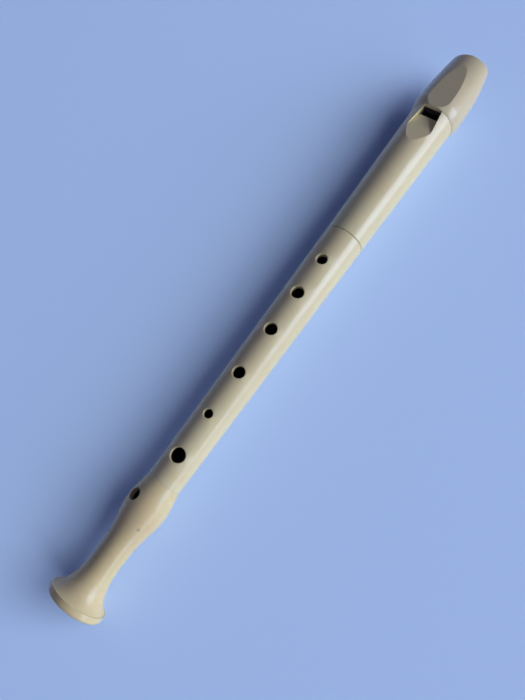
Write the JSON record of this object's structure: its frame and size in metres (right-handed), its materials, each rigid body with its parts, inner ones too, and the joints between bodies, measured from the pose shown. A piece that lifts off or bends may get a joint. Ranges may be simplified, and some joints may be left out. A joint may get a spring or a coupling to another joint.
{
  "type": "soprano recorder",
  "caption": "Slim cream moulded flute in push-fit joints: beaked head with sloping window, tapered finger-hole tube and flared foot.",
  "frame": {"origin": "on the surface that the recorder lies on, under the middle of its length; the bore line is 13.7 mm above it", "axes": "+X along the bore from the bell towards the beak, +Z out through the finger holes and the window, +Y to the player's right"},
  "size_m": [0.3284, 0.0274, 0.0274],
  "materials": {
    "foot_plastic": "satin cream moulded ABS",
    "body_plastic": "satin cream moulded ABS",
    "block_plastic": "fine matte cream ABS",
    "cap_plastic": "satin cream moulded ABS"
  },
  "bodies": {
    "middle": {"middle_joint": "body_plastic"},
    "head": {"head_tube": "body_plastic", "windway_block": "block_plastic", "beak_cap": "cap_plastic"},
    "foot": {"foot_joint": "foot_plastic"}
  },
  "joints": [
    {"name": "head_slide", "type": "slide", "parent": "middle", "child": "head", "axis": [1, 0, 0], "range_m": [0, 0.018]},
    {"name": "foot_twist", "type": "hinge", "parent": "middle", "child": "foot", "pos_m": [-0.1042, 0, 0.0137], "axis": [1, 0, 0], "continuous": true}
  ]
}
